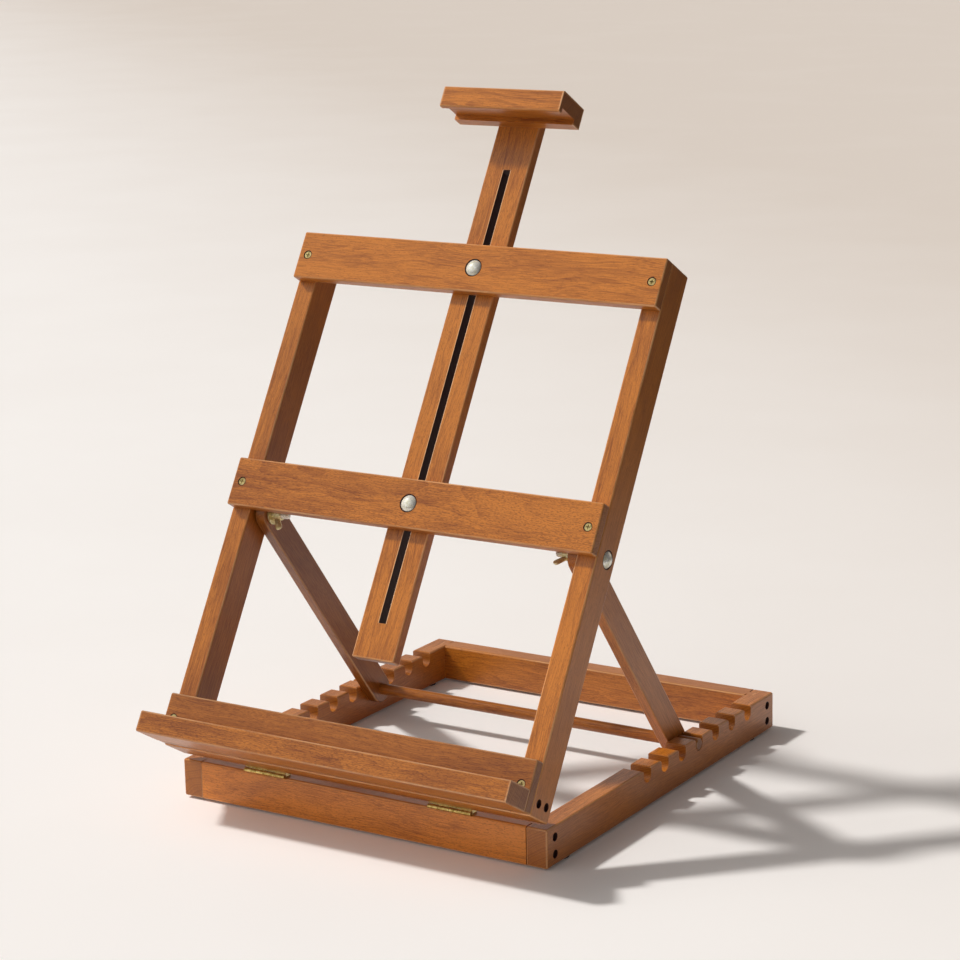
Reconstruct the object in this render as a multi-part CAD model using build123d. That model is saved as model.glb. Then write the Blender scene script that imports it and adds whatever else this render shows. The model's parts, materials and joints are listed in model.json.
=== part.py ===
from build123d import *
from math import atan2, cos, degrees, hypot, radians, sin
import os

# A tabletop H-frame easel: a tilting frame hinged to a notched base, held up by a prop.
# Millimetres. +Z is up, +X is to the right of a person at the easel, +Y is away from them.
# The origin is on the table, midway across the easel and midway between its front and its rear.

# Base frame, measured from its front face and from the underside of its rails
base_width = 350.0
base_depth = 390.0
rail_height = 32.0
rail_thickness = 19.0
rail_easing = 1.8
hinge_edge_radius = 2.5
tongue_length = 7.0
tongue_thickness = 6.5
tongue_setback = 9.0
corner_screw_heights = (9.0, 23.0)
corner_screw_length = 40.0
corner_screw_sink = 2.5
pad_height = 2.0
pad_radius = 7.5
pad_inset = 35.0
pad_easing = 0.6

# Notches along the side rails, counted from the front
notch_count = 7
notch_pitch = 30.0
first_notch = 160.0
notch_radius = 6.0
notch_depth = 11.5
notch_front_lip = 2.4
notch_rear_lip = 1.2
notch_in_use = 4

# Hinges between the base's front rail and the frame
hinge_places = {"left": -91.0, "right": 87.2}
hinge_length = 40.0
hinge_axis_height = 1.5
knuckle_count = 4
knuckle_radius = 1.9
knuckle_gap = 0.3
leaf_width = 9.0
leaf_thickness = 1.2
leaf_corner_radius = 1.5
hinge_pin_radius = 1.0
leaf_screw_spread = 20.0
leaf_screw_reach = 5.4

# Tilting frame, measured up its slope and forward from its back face
frame_angle = 59.0
frame_gap = 3.0
upright_width = 18.0
upright_depth = 30.0
upright_length = 452.0
frame_easing = 1.5
bottom_rail_height = 18.0
bottom_rail_screw_up = 11.7
bottom_rail_screw_in = (9.0, 21.5)
bottom_rail_screw_length = 42.0
crossbar_height = 41.5
crossbar_thickness = 10.0
middle_crossbar_up = 206.0
ledge_up = 1.0
ledge_board_height = 41.0
ledge_bar_height = 17.5
ledge_bar_depth = 31.5
ledge_nose_radius = 1.8
ledge_rear_easing = 0.8
side_screw_in = 9.0
crossbar_screw_length = 30.0
ledge_screw_up = 21.3
ledge_bar_screw_xs = (-120.0, 0.0, 120.0)
ledge_bar_screw_length = 30.0

# Mast and the clamp at its top
mast_width = 40.0
mast_thickness = 10.0
mast_bottom_up = 98.3
mast_top_up = 580.0
mast_easing = 1.2
slot_width = 6.6
slot_bottom_up = 128.5
slot_top_up = 523.0
slot_corner_radius = 1.2
clamp_width = 115.0
clamp_height = 18.5
clamp_depth = 37.0
clamp_groove_back = 10.5
clamp_groove_width = 22.0
clamp_groove_depth = 4.5
clamp_nose_radius = 1.8
clamp_rear_easing = 0.8
clamp_screw_spread = 20.0
clamp_screw_length = 26.0

# Prop: two struts and the dowel that drops into a notch
pivot_up = 209.5
pivot_in = 12.5
strut_width = 25.0
strut_thickness = 10.0
strut_easing = 1.2
dowel_radius = 5.0
dowel_end_easing = 0.5
dowel_play = 0.3
dowel_push_angle = -52.0

# Bolts, washers, wing nuts and screws
bolt_radius = 3.0
bolt_head_radius = 6.8
bolt_head_height = 3.3
bolt_sink = 0.5
bolt_ring = 0.6
bolt_neck_length = 3.5
mast_bolt_length = 35.0
pivot_bolt_length = 45.0
bolt_point = 0.6
running_clearance = 0.05
washer_radius = 9.0
washer_thickness = 1.5
washer_hole_radius = 3.2
washer_easing = 0.25
nut_base_radius = 5.8
nut_top_radius = 4.8
nut_height = 8.0
nut_easing = 0.5
wing_reach = 10.6
wing_tip_radius = 3.2
wing_tip_height = 9.6
wing_root_radius = 2.4
wing_root_reach = 4.4
wing_root_height = 3.4
wing_thickness = 2.2
wing_easing = 0.6
nut_play = 0.05
pivot_nut_turns = {"left": 81.5, "right": -55.0}
mast_nut_turns = {"top": 25.0, "middle": -70.0}
screw_head_radius = 3.1
screw_head_rim = 0.5
screw_head_taper = 1.9
screw_radius = 1.6
screw_tip = 4.0
screw_ring = 0.4
screw_sink = 0.4
screw_cross = (3.6, 0.8, 1.3)
leaf_screw_cross = (2.6, 0.6, 0.7)
leaf_screw_rim = 0.2
leaf_screw_head_radius = 2.0
leaf_screw_radius = 1.1
leaf_screw_length = 11.0

# Places that follow from the sizes above
half_width = base_width / 2
hinge_height = rail_height + hinge_axis_height
tilt = radians(frame_angle)
ledge_front = upright_depth + crossbar_thickness + ledge_bar_depth
nose_up = frame_gap + ledge_up + ledge_nose_radius
nose_in = ledge_front - ledge_nose_radius
front_reach = nose_in * sin(tilt) + ledge_nose_radius - nose_up * cos(tilt)
base_front = (front_reach - base_depth) / 2
base_place = Pos(0, base_front, pad_height)
hinge_place = base_place * Pos(0, 0, hinge_height)
frame_place = hinge_place * Rot(frame_angle, 0, 0) * Pos(0, frame_gap, 0)
notch_centre_height = rail_height - notch_depth + notch_radius
dowel_offset = notch_radius - dowel_radius - dowel_play
dowel_y = first_notch + (notch_in_use - 1) * notch_pitch + dowel_offset * cos(radians(dowel_push_angle))
dowel_z = notch_centre_height + dowel_offset * sin(radians(dowel_push_angle))
pivot_y = (frame_gap + pivot_up) * cos(tilt) - pivot_in * sin(tilt)
pivot_z = hinge_height + (frame_gap + pivot_up) * sin(tilt) + pivot_in * cos(tilt)
strut_length = hypot(dowel_y - pivot_y, dowel_z - pivot_z)
strut_angle = degrees(atan2(dowel_z - pivot_z, dowel_y - pivot_y))
prop_place = base_place * Pos(0, pivot_y, pivot_z) * Rot(strut_angle, 0, 0)
strut_outer_x = half_width - upright_width - washer_thickness
strut_inner_x = strut_outer_x - strut_thickness
top_crossbar_up = upright_length - crossbar_height
mast_bolt_ups = {
    "top": top_crossbar_up + crossbar_height / 2,
    "middle": middle_crossbar_up + crossbar_height / 2,
}
mast_front = upright_depth
mast_back = mast_front - mast_thickness
front_of_crossbars = upright_depth + crossbar_thickness
facing_back = Rot(180, 0, 0)
from_below = (Align.CENTER, Align.CENTER, Align.MAX)
from_above = (Align.CENTER, Align.CENTER, Align.MIN)


def facing_side(side):
    """Turns a thing that points up so that it points to the right (1) or to the left (-1)."""
    return Rot(0, 90 * side, 0)


def block(low, high):
    """A square-edged block between two opposite corners."""
    lows = [min(a, b) for a, b in zip(low, high)]
    sizes = [abs(b - a) for a, b in zip(low, high)]
    return Pos(*lows) * Box(*sizes, align=(Align.MIN, Align.MIN, Align.MIN))


def bar(low, high, easing):
    """A bar between two opposite corners, with all its edges rounded."""
    solid = block(low, high)
    return fillet(solid.edges(), radius=easing)


def turned(*outline):
    """A solid of revolution about Z, from the points (radius, height) of its half outline."""
    return revolve(Plane.XZ * make_face(Polyline(*outline, close=True)), Axis.Z)


def along_x(radius, x_from, x_to):
    """A round bar along X, between two x values, centred on the X axis."""
    length = abs(x_to - x_from)
    middle = (x_from + x_to) / 2
    return Pos(middle, 0, 0) * Rot(0, 90, 0) * Cylinder(radius, length)


def group(places, shape):
    """Copies of one shape at several places, as separate solids that share one node."""
    return Compound([place * shape for place in places])


def cut_all(shape, cutters):
    """Takes every cutter out of a shape."""
    for cutter in cutters:
        shape = shape - cutter
    return shape


def cut_at(shape, places, cutter):
    """Takes one cutter out of a shape at several places."""
    return cut_all(shape, [place * cutter for place in places])


def plain_screw(head_radius, radius, rim, taper, length):
    """A countersunk wood screw without its cross: the head's face is at the origin, the tip below."""
    return turned(
        (0, 0),
        (head_radius, 0),
        (head_radius, -rim),
        (radius, -rim - taper),
        (radius, screw_tip - length),
        (0, -length),
    )


def cross(length, width, depth):
    """The cross cut into a screw's head."""
    slit = Box(length, width, depth, align=from_below)
    return slit + Rot(0, 0, 90) * slit


def screw(length):
    """One of the brass wood screws."""
    body = plain_screw(screw_head_radius, screw_radius, screw_head_rim, screw_head_taper, length)
    return body - cross(*screw_cross)


def screw_hole(length, sink):
    """The hole for a wood screw: its own shape below a slightly wider ring that the head is sunk in."""
    body = plain_screw(screw_head_radius, screw_radius, screw_head_rim, screw_head_taper, length)
    ring = Cylinder(screw_head_radius + screw_ring, screw_head_rim + sink + 1, align=from_above)
    return body + Pos(0, 0, -screw_head_rim) * ring


def leaf_screw_body():
    """A hinge screw without its cross."""
    taper = leaf_thickness - leaf_screw_rim
    return plain_screw(leaf_screw_head_radius, leaf_screw_radius, leaf_screw_rim, taper, leaf_screw_length)


def leaf_screw():
    """One of the small screws of a hinge leaf."""
    return leaf_screw_body() - cross(*leaf_screw_cross)


def carriage_bolt(length):
    """A bolt with a domed head above the origin, a square neck below it and a plain shank."""
    rise = bolt_head_height
    sphere_radius = (bolt_head_radius ** 2 + rise ** 2) / (2 * rise)
    sphere = Pos(0, 0, rise - sphere_radius) * Sphere(sphere_radius)
    above = Box(4 * bolt_head_radius, 4 * bolt_head_radius, 2 * rise, align=from_above)
    neck = Box(2 * bolt_radius, 2 * bolt_radius, bolt_neck_length, align=from_below)
    shank = Cylinder(bolt_radius, length, align=from_below)
    shank = chamfer(shank.edges().sort_by(Axis.Z)[0], length=bolt_point)
    return (sphere & above) + neck + shank


def bolt_hole(length):
    """The hole that a bolt's neck and shank fill, below the wider ring that its head is sunk in."""
    neck = Box(2 * bolt_radius, 2 * bolt_radius, bolt_neck_length, align=from_below)
    ring = Cylinder(bolt_head_radius + bolt_ring, bolt_sink + 1, align=from_above)
    return ring + neck + Cylinder(bolt_radius, length, align=from_below)


def washer():
    """A plain washer that lies on the origin's plane and rises from it."""
    disc = Cylinder(washer_radius, washer_thickness, align=from_above)
    disc = chamfer(disc.edges(), length=washer_easing)
    return disc - Cylinder(washer_hole_radius, 4 * washer_thickness)


def wing_nut():
    """A wing nut that stands on the origin's plane, with its bore along Z and its wings along X."""
    hub = turned((0, 0), (nut_base_radius, 0), (nut_top_radius, nut_height), (0, nut_height))
    hub = chamfer(hub.edges(), length=nut_easing)
    root = Pos(wing_root_reach, wing_root_height) * Circle(wing_root_radius)
    tip = Pos(wing_reach, wing_tip_height) * Circle(wing_tip_radius)
    outline = make_hull(root.edges() + tip.edges())
    wing = extrude(Plane.XZ * outline, amount=wing_thickness / 2, both=True)
    wing = fillet(wing.edges(), radius=wing_easing)
    nut = hub + wing + Rot(0, 0, 180) * wing
    return nut - Cylinder(bolt_radius + running_clearance, 4 * nut_height)


def on_washer(turn):
    """Where a wing nut stands on a washer, turned about its bolt, with a little play under it."""
    return Pos(0, 0, washer_thickness + nut_play) * Rot(0, 0, turn)


def tongue(side, outer_y, inward):
    """The tongue at one end of the front or rear rail, set back from the rail's outer face."""
    near = outer_y + inward * tongue_setback
    far = near + inward * tongue_thickness
    shoulder = half_width - rail_thickness
    return block((side * shoulder, near, 0), (side * (shoulder + tongue_length), far, rail_height))


def corner_screw_places():
    """Where the corner screws' heads are: two at each end of each side rail."""
    inset = tongue_setback + tongue_thickness / 2
    head_x = half_width - corner_screw_sink
    return [
        Pos(side * head_x, y, z) * facing_side(side)
        for side in (-1, 1)
        for y in (inset, base_depth - inset)
        for z in corner_screw_heights
    ]


def notch_cutter(y):
    """The space of one notch: a round bottom, upright walls and a mouth that opens at the top."""
    top = rail_height
    front = y - notch_radius
    rear = y + notch_radius
    outline = Curve() + [
        Line((front - notch_front_lip, top), (front - notch_front_lip, top + 1)),
        Line((front - notch_front_lip, top + 1), (rear + notch_rear_lip, top + 1)),
        Line((rear + notch_rear_lip, top + 1), (rear + notch_rear_lip, top)),
        RadiusArc((rear + notch_rear_lip, top), (rear, top - notch_rear_lip), -notch_rear_lip),
        Line((rear, top - notch_rear_lip), (rear, notch_centre_height)),
        ThreePointArc((rear, notch_centre_height), (y, top - notch_depth), (front, notch_centre_height)),
        Line((front, notch_centre_height), (front, top - notch_front_lip)),
        RadiusArc((front, top - notch_front_lip), (front - notch_front_lip, top), -notch_front_lip),
    ]
    return extrude(Plane.YZ * make_face(outline), amount=base_width, both=True)


def side_rail(side):
    """One side rail: grooved for the tongues, drilled for the corner screws and notched along its top."""
    low = (side * (half_width - rail_thickness), 0, 0)
    high = (side * half_width, base_depth, rail_height)
    rail = bar(low, high, rail_easing)
    rail = cut_all(rail, [tongue(side, 0, 1), tongue(side, base_depth, -1)])
    rail = cut_at(rail, corner_screw_places(), screw_hole(corner_screw_length, corner_screw_sink))
    return cut_all(rail, [notch_cutter(first_notch + i * notch_pitch) for i in range(notch_count)])


def end_rail(outer_y, inward, top_outer_radius):
    """The front or rear rail, with a tongue at each end and its own rounding at its top outer edge."""
    shoulder = half_width - rail_thickness
    rail = block((-shoulder, outer_y, 0), (shoulder, outer_y + inward * rail_thickness, rail_height))
    below_to_above = rail.edges().filter_by(Axis.X).group_by(Axis.Z)
    top_edges = below_to_above[-1].sort_by(lambda edge: abs(edge.center().Y - outer_y))
    rail = fillet(top_edges[0], radius=top_outer_radius)
    others = rail.edges().filter_by(Axis.X).filter_by(lambda edge: on_a_corner(edge, outer_y, inward))
    rail = fillet(others, radius=rail_easing)
    rail = rail + tongue(-1, outer_y, inward) + tongue(1, outer_y, inward)
    rail = cut_at(rail, corner_screw_places(), screw_hole(corner_screw_length, corner_screw_sink))
    return rail


def on_a_corner(edge, outer_y, inward):
    """Whether an edge along X is still a square corner of an end rail."""
    at = edge.center()
    across = abs(at.Y - outer_y)
    on_side = min(across, rail_thickness - across) < 0.01
    on_top_or_bottom = min(at.Z, rail_height - at.Z) < 0.01
    return on_side and on_top_or_bottom


def foot_pad_places():
    """Under the side rails, near their ends."""
    x = half_width - rail_thickness / 2
    return [Pos(side * x, y, 0) for side in (-1, 1) for y in (pad_inset, base_depth - pad_inset)]


def foot_pad():
    """A thin round pad that hangs below the origin's plane."""
    pad = Cylinder(pad_radius, pad_height, align=from_below)
    return fillet(pad.edges().sort_by(Axis.Z)[0], radius=pad_easing)


def hinge_leaf(centre_x, first_knuckle, seat, bore_radius):
    """A hinge leaf about the X axis, reaching along +Y, whose plate starts at the height of its seat."""
    left_x = centre_x - hinge_length / 2
    pitch = hinge_length / knuckle_count
    plate_start = knuckle_radius + knuckle_gap
    plate_low = (left_x + knuckle_gap / 2, plate_start, seat)
    plate_high = (left_x + hinge_length - knuckle_gap / 2, leaf_width, seat + leaf_thickness)
    leaf = block(plate_low, plate_high)
    far_corners = leaf.edges().filter_by(Axis.Z).sort_by(Axis.Y)[-2:]
    leaf = fillet(far_corners, radius=leaf_corner_radius)
    for i in range(first_knuckle, knuckle_count, 2):
        start = left_x + i * pitch + knuckle_gap / 2
        end = start + pitch - knuckle_gap
        leaf = leaf + block((start, 0, seat), (end, plate_start, seat + leaf_thickness))
        leaf = leaf + along_x(knuckle_radius, start, end)
    return leaf - along_x(bore_radius, left_x - 1, left_x + hinge_length + 1)


def leaf_screw_offsets():
    """The x values of all hinge screws, two for each leaf."""
    half = leaf_screw_spread / 2
    return [centre + step for centre in hinge_places.values() for step in (-half, half)]


def base_leaf_screw_places():
    """Where the heads of the base leaves' screws are."""
    height = rail_height + leaf_thickness
    return [Pos(x, leaf_screw_reach, height) for x in leaf_screw_offsets()]


def frame_leaf_screw_places():
    """Where the heads of the frame leaves' screws are, in the frame's measures."""
    return [Pos(x, leaf_screw_reach - frame_gap, 0) * facing_back for x in leaf_screw_offsets()]


def frame_leaf_seat(centre_x):
    """The shallow housing in the frame's back that a hinge leaf is let into."""
    half = hinge_length / 2 - knuckle_gap / 2
    return block((centre_x - half, -1, -1), (centre_x + half, leaf_width - frame_gap, leaf_thickness))


def crossbar_screw_places():
    """Where the heads of the crossbars' screws are, in the frame's measures."""
    x = half_width - side_screw_in
    height = front_of_crossbars - screw_sink
    return [Pos(side * x, up, height) for side in (-1, 1) for up in mast_bolt_ups.values()]


def ledge_end_screw_places():
    """Where the heads of the ledge's end screws are, in the frame's measures."""
    x = half_width - side_screw_in
    return [Pos(side * x, ledge_screw_up, front_of_crossbars - screw_sink) for side in (-1, 1)]


def ledge_bar_screw_places():
    """Where the heads of the hidden screws are that hold the ledge's bar from behind."""
    up = ledge_up + ledge_bar_height / 2
    return [Pos(x, up, upright_depth + screw_sink) * facing_back for x in ledge_bar_screw_xs]


def bottom_rail_screw_places():
    """Where the heads of the screws are that go through the uprights into the bottom rail."""
    x = half_width - corner_screw_sink
    return [
        Pos(side * x, bottom_rail_screw_up, depth) * facing_side(side)
        for side in (-1, 1)
        for depth in bottom_rail_screw_in
    ]


def clamp_screw_places():
    """Where the heads of the screws are that go through the mast into its clamp."""
    up = mast_top_up - clamp_height / 2
    half = clamp_screw_spread / 2
    return [Pos(x, up, mast_back + screw_sink) * facing_back for x in (-half, half)]


def mast_bolt_place(name):
    """Where a mast bolt's head is seated."""
    return Pos(0, mast_bolt_ups[name], front_of_crossbars - bolt_sink)


def pivot_bolt_place(side):
    """Where a pivot bolt's head is seated, on the outside of an upright."""
    return Pos(side * (half_width - bolt_sink), pivot_up, pivot_in) * facing_side(side)


def upright(side):
    """One upright of the frame, drilled for its pivot bolt and its screws."""
    low = (side * (half_width - upright_width), 0, 0)
    post = bar(low, (side * half_width, upright_length, upright_depth), frame_easing)
    post = post - pivot_bolt_place(side) * bolt_hole(pivot_bolt_length)
    post = cut_at(post, bottom_rail_screw_places(), screw_hole(bottom_rail_screw_length, corner_screw_sink))
    front_places = crossbar_screw_places() + ledge_end_screw_places()
    return cut_at(post, front_places, screw_hole(crossbar_screw_length, screw_sink))


def bottom_rail():
    """The rail between the feet of the uprights, which the hinges are screwed to."""
    half = half_width - upright_width
    rail = block((-half, 0, 0), (half, bottom_rail_height, upright_depth))
    rail = fillet(rail.edges().filter_by(Axis.X), radius=frame_easing)
    rail = cut_at(rail, bottom_rail_screw_places(), screw_hole(bottom_rail_screw_length, corner_screw_sink))
    rail = cut_all(rail, [frame_leaf_seat(centre) for centre in hinge_places.values()])
    return cut_at(rail, frame_leaf_screw_places(), leaf_screw_body())


def crossbar(name):
    """The top or middle crossbar, on the front of the uprights."""
    low_up = mast_bolt_ups[name] - crossbar_height / 2
    low = (-half_width, low_up, upright_depth)
    board = bar(low, (half_width, low_up + crossbar_height, front_of_crossbars), frame_easing)
    board = board - mast_bolt_place(name) * bolt_hole(mast_bolt_length)
    return cut_at(board, crossbar_screw_places(), screw_hole(crossbar_screw_length, screw_sink))


def ledge_backboard():
    """The upright board of the ledge, on the front of the uprights."""
    low = (-half_width, ledge_up, upright_depth)
    high = (half_width, ledge_up + ledge_board_height, front_of_crossbars)
    board = bar(low, high, frame_easing)
    board = cut_at(board, ledge_end_screw_places(), screw_hole(crossbar_screw_length, screw_sink))
    return cut_at(board, ledge_bar_screw_places(), screw_hole(ledge_bar_screw_length, screw_sink))


def nosed_bar(low, high, nose_radius, easing):
    """A bar along X whose two front edges are rounded more than its other edges."""
    solid = block(low, high)
    front = solid.edges().filter_by(Axis.X).group_by(Axis.Z)[-1]
    solid = fillet(front, radius=nose_radius)
    return fillet(solid.faces().sort_by(Axis.Z)[0].edges().filter_by(Axis.X), radius=easing)


def ledge_bar():
    """The bar that the picture stands on."""
    low = (-half_width, ledge_up, front_of_crossbars)
    high = (half_width, ledge_up + ledge_bar_height, ledge_front)
    shelf = nosed_bar(low, high, ledge_nose_radius, ledge_rear_easing)
    return cut_at(shelf, ledge_bar_screw_places(), screw_hole(ledge_bar_screw_length, screw_sink))


def mast():
    """The slotted mast: the slot is round at the top and nearly square at the bottom."""
    half = mast_width / 2
    post = bar((-half, mast_bottom_up, mast_back), (half, mast_top_up, mast_front), mast_easing)
    half_slot = slot_width / 2
    round_end = Pos(0, slot_top_up - half_slot) * Circle(half_slot)
    straight = Pos(0, slot_bottom_up) * Rectangle(
        slot_width, slot_top_up - half_slot - slot_bottom_up, align=(Align.CENTER, Align.MIN)
    )
    straight = fillet(straight.vertices().sort_by(Axis.Y)[:2], radius=slot_corner_radius)
    slot = extrude(round_end + straight, amount=2 * mast_front)
    return cut_at(post - slot, clamp_screw_places(), screw_hole(clamp_screw_length, screw_sink))


def mast_clamp():
    """The bar at the mast's top, with a groove in its underside for the picture's top edge."""
    half = clamp_width / 2
    low = (-half, mast_top_up - clamp_height, mast_front)
    high = (half, mast_top_up, mast_front + clamp_depth)
    solid = nosed_bar(low, high, clamp_nose_radius, clamp_rear_easing)
    groove_low = (-half - 1, low[1] - 1, mast_front + clamp_groove_back)
    groove_high = (half + 1, low[1] + clamp_groove_depth, groove_low[2] + clamp_groove_width)
    solid = solid - block(groove_low, groove_high)
    return cut_at(solid, clamp_screw_places(), screw_hole(clamp_screw_length, screw_sink))


def strut(side):
    """One strut of the prop, round about its pivot and about the dowel."""
    outline = Pos(strut_length / 2, 0) * SlotCenterToCenter(strut_length, strut_width)
    middle_x = side * (strut_inner_x + strut_outer_x) / 2
    plank = Pos(middle_x, 0, 0) * extrude(Plane.YZ * outline, amount=strut_thickness / 2, both=True)
    around = plank.edges().filter_by(lambda edge: edge.length > strut_thickness + 1)
    plank = fillet(around, radius=strut_easing)
    pivot_hole = along_x(bolt_radius + running_clearance, -half_width, half_width)
    dowel_hole = Pos(0, strut_length, 0) * along_x(dowel_radius, -half_width, half_width)
    return plank - pivot_hole - dowel_hole


def prop_dowel():
    """The dowel between the struts, whose ends reach over the side rails."""
    rod = along_x(dowel_radius, -half_width, half_width)
    rod = chamfer(rod.edges().filter_by(GeomType.CIRCLE), length=dowel_end_easing)
    return Pos(0, strut_length, 0) * rod


nodes = {}
sides = {"left": -1, "right": 1}

# Base
for name, side in sides.items():
    nodes[f"base_side_rail_{name}"] = base_place * side_rail(side)
front_rail = cut_at(end_rail(0, 1, hinge_edge_radius), base_leaf_screw_places(), leaf_screw_body())
nodes["base_front_rail"] = base_place * front_rail
nodes["base_rear_rail"] = base_place * end_rail(base_depth, -1, rail_easing)
nodes["base_corner_screws"] = base_place * group(corner_screw_places(), screw(corner_screw_length))
nodes["base_foot_pads"] = base_place * group(foot_pad_places(), foot_pad())

# Hinges: the pin stays with the base's leaf, and the frame's leaf turns on it
pin_half = hinge_length / 2 - knuckle_gap / 2
for name, centre in hinge_places.items():
    base_leaf = Pos(0, 0, hinge_height) * hinge_leaf(centre, 0, -hinge_axis_height, hinge_pin_radius)
    base_leaf = cut_at(base_leaf, base_leaf_screw_places(), leaf_screw_body())
    nodes[f"hinge_base_leaf_{name}"] = base_place * base_leaf
    nodes[f"hinge_pin_{name}"] = hinge_place * along_x(hinge_pin_radius, centre - pin_half, centre + pin_half)
    frame_leaf = Pos(0, -frame_gap, 0) * hinge_leaf(centre, 1, 0, hinge_pin_radius + running_clearance)
    frame_leaf = cut_at(frame_leaf, frame_leaf_screw_places(), leaf_screw_body())
    nodes[f"hinge_frame_leaf_{name}"] = frame_place * frame_leaf
nodes["hinge_base_screws"] = base_place * group(base_leaf_screw_places(), leaf_screw())
nodes["hinge_frame_screws"] = frame_place * group(frame_leaf_screw_places(), leaf_screw())

# Tilting frame
for name, side in sides.items():
    nodes[f"upright_{name}"] = frame_place * upright(side)
nodes["bottom_rail"] = frame_place * bottom_rail()
nodes["top_crossbar"] = frame_place * crossbar("top")
nodes["middle_crossbar"] = frame_place * crossbar("middle")
nodes["ledge_backboard"] = frame_place * ledge_backboard()
nodes["ledge_bar"] = frame_place * ledge_bar()
frame_screws = {
    "bottom_rail_screws": (bottom_rail_screw_places(), bottom_rail_screw_length),
    "crossbar_screws": (crossbar_screw_places(), crossbar_screw_length),
    "ledge_end_screws": (ledge_end_screw_places(), crossbar_screw_length),
    "ledge_bar_screws": (ledge_bar_screw_places(), ledge_bar_screw_length),
    "clamp_screws": (clamp_screw_places(), clamp_screw_length),
}
for name, (places, length) in frame_screws.items():
    nodes[name] = frame_place * group(places, screw(length))

# Mast and its clamping bolts
nodes["mast"] = frame_place * mast()
nodes["mast_clamp"] = frame_place * mast_clamp()
for name, up in mast_bolt_ups.items():
    behind_mast = Pos(0, up, mast_back) * facing_back
    nodes[f"mast_bolt_{name}"] = frame_place * mast_bolt_place(name) * carriage_bolt(mast_bolt_length)
    nodes[f"mast_washer_{name}"] = frame_place * behind_mast * washer()
    nut_place = behind_mast * on_washer(mast_nut_turns[name])
    nodes[f"mast_wing_nut_{name}"] = frame_place * nut_place * wing_nut()

# Prop and its pivots
for name, side in sides.items():
    inward = facing_side(-side)
    outer_seat = Pos(side * (half_width - upright_width), pivot_up, pivot_in) * inward
    inner_seat = Pos(side * strut_inner_x, pivot_up, pivot_in) * inward
    nodes[f"strut_{name}"] = prop_place * strut(side)
    nodes[f"pivot_bolt_{name}"] = frame_place * pivot_bolt_place(side) * carriage_bolt(pivot_bolt_length)
    nodes[f"pivot_spacer_{name}"] = frame_place * outer_seat * washer()
    nodes[f"pivot_washer_{name}"] = frame_place * inner_seat * washer()
    nut_place = inner_seat * on_washer(pivot_nut_turns[name])
    nodes[f"pivot_wing_nut_{name}"] = frame_place * nut_place * wing_nut()
nodes["prop_dowel"] = prop_place * prop_dowel()

os.makedirs("parts", exist_ok=True)
for name, shape in nodes.items():
    export_step(shape, f"parts/{name}.step")

print(f"{len(nodes)} nodes")
print(f"base front y {base_front:.3f}, hinge axis z {pad_height + hinge_height:.3f}")
print(f"pivot y {base_front + pivot_y:.3f} z {pad_height + pivot_z:.3f}")
print(f"strut length {strut_length:.3f}, angle {strut_angle:.3f}, folds by {frame_angle - strut_angle:.3f}")
print(f"dowel clears the uprights' tops by {pivot_up + strut_length - dowel_radius - upright_length:.3f}")
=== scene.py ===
# %% [markdown]
# # A stained beech tabletop easel
#
# The easel is a tilting frame of beech bars, hinged to a notched base and held up by a prop.
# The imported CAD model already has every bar, screw and hinge at its real size, so this lesson
# is mostly about finishes: stained beech with its rays and rings, brass plating, and rubber.
# Only the threaded bolts and the cast wing nuts are made anew, as surfaces worked out with numpy.

# %% Load the frame
import json
import math
from collections import namedtuple
import bpy
import numpy as np
from mathutils import Matrix, Vector


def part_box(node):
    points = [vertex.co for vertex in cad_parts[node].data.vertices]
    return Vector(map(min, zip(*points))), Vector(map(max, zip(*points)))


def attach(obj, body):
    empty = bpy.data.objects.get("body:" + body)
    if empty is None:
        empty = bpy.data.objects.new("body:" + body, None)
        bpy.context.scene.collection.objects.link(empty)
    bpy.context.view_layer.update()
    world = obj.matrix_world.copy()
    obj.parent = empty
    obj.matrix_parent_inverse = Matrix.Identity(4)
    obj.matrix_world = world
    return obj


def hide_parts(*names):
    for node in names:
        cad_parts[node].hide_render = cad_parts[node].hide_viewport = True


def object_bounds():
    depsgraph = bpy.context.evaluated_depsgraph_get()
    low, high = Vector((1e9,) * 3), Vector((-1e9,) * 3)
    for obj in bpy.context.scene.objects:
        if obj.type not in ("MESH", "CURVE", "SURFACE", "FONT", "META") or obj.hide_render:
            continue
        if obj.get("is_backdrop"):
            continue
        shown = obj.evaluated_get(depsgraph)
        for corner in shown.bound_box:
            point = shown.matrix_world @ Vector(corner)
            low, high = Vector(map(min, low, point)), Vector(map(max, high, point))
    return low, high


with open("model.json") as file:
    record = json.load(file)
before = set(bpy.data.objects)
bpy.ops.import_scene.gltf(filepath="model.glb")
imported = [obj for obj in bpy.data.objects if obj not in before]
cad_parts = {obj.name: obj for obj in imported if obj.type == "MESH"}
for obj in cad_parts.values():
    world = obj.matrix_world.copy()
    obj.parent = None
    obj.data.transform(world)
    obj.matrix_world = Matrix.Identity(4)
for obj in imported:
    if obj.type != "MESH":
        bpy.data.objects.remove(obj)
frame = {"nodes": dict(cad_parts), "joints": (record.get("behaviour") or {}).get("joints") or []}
solid_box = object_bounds()
nodes = frame["nodes"]
print(f"{len(nodes)} nodes, box {[round(v, 4) for v in solid_box[1] - solid_box[0]]}")

# %% [markdown]
# Everything is placed by what the model says of itself. The mast slides along the frame's slope,
# so the axis of its joint is the direction up the slope. The frame's face looks square to that,
# and the strut points from its pivot bolt to the dowel that it holds.

# %% Directions and places of the parts
millimetre = 0.001
joints = {joint["name"]: joint for joint in frame["joints"]}
across = np.array([1.0, 0.0, 0.0])
rearward = np.array([0.0, 1.0, 0.0])
upward = np.array([0.0, 0.0, 1.0])
slope = np.array(joints["mast_slide"]["axis"])
facing = np.cross(across, slope)


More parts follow.
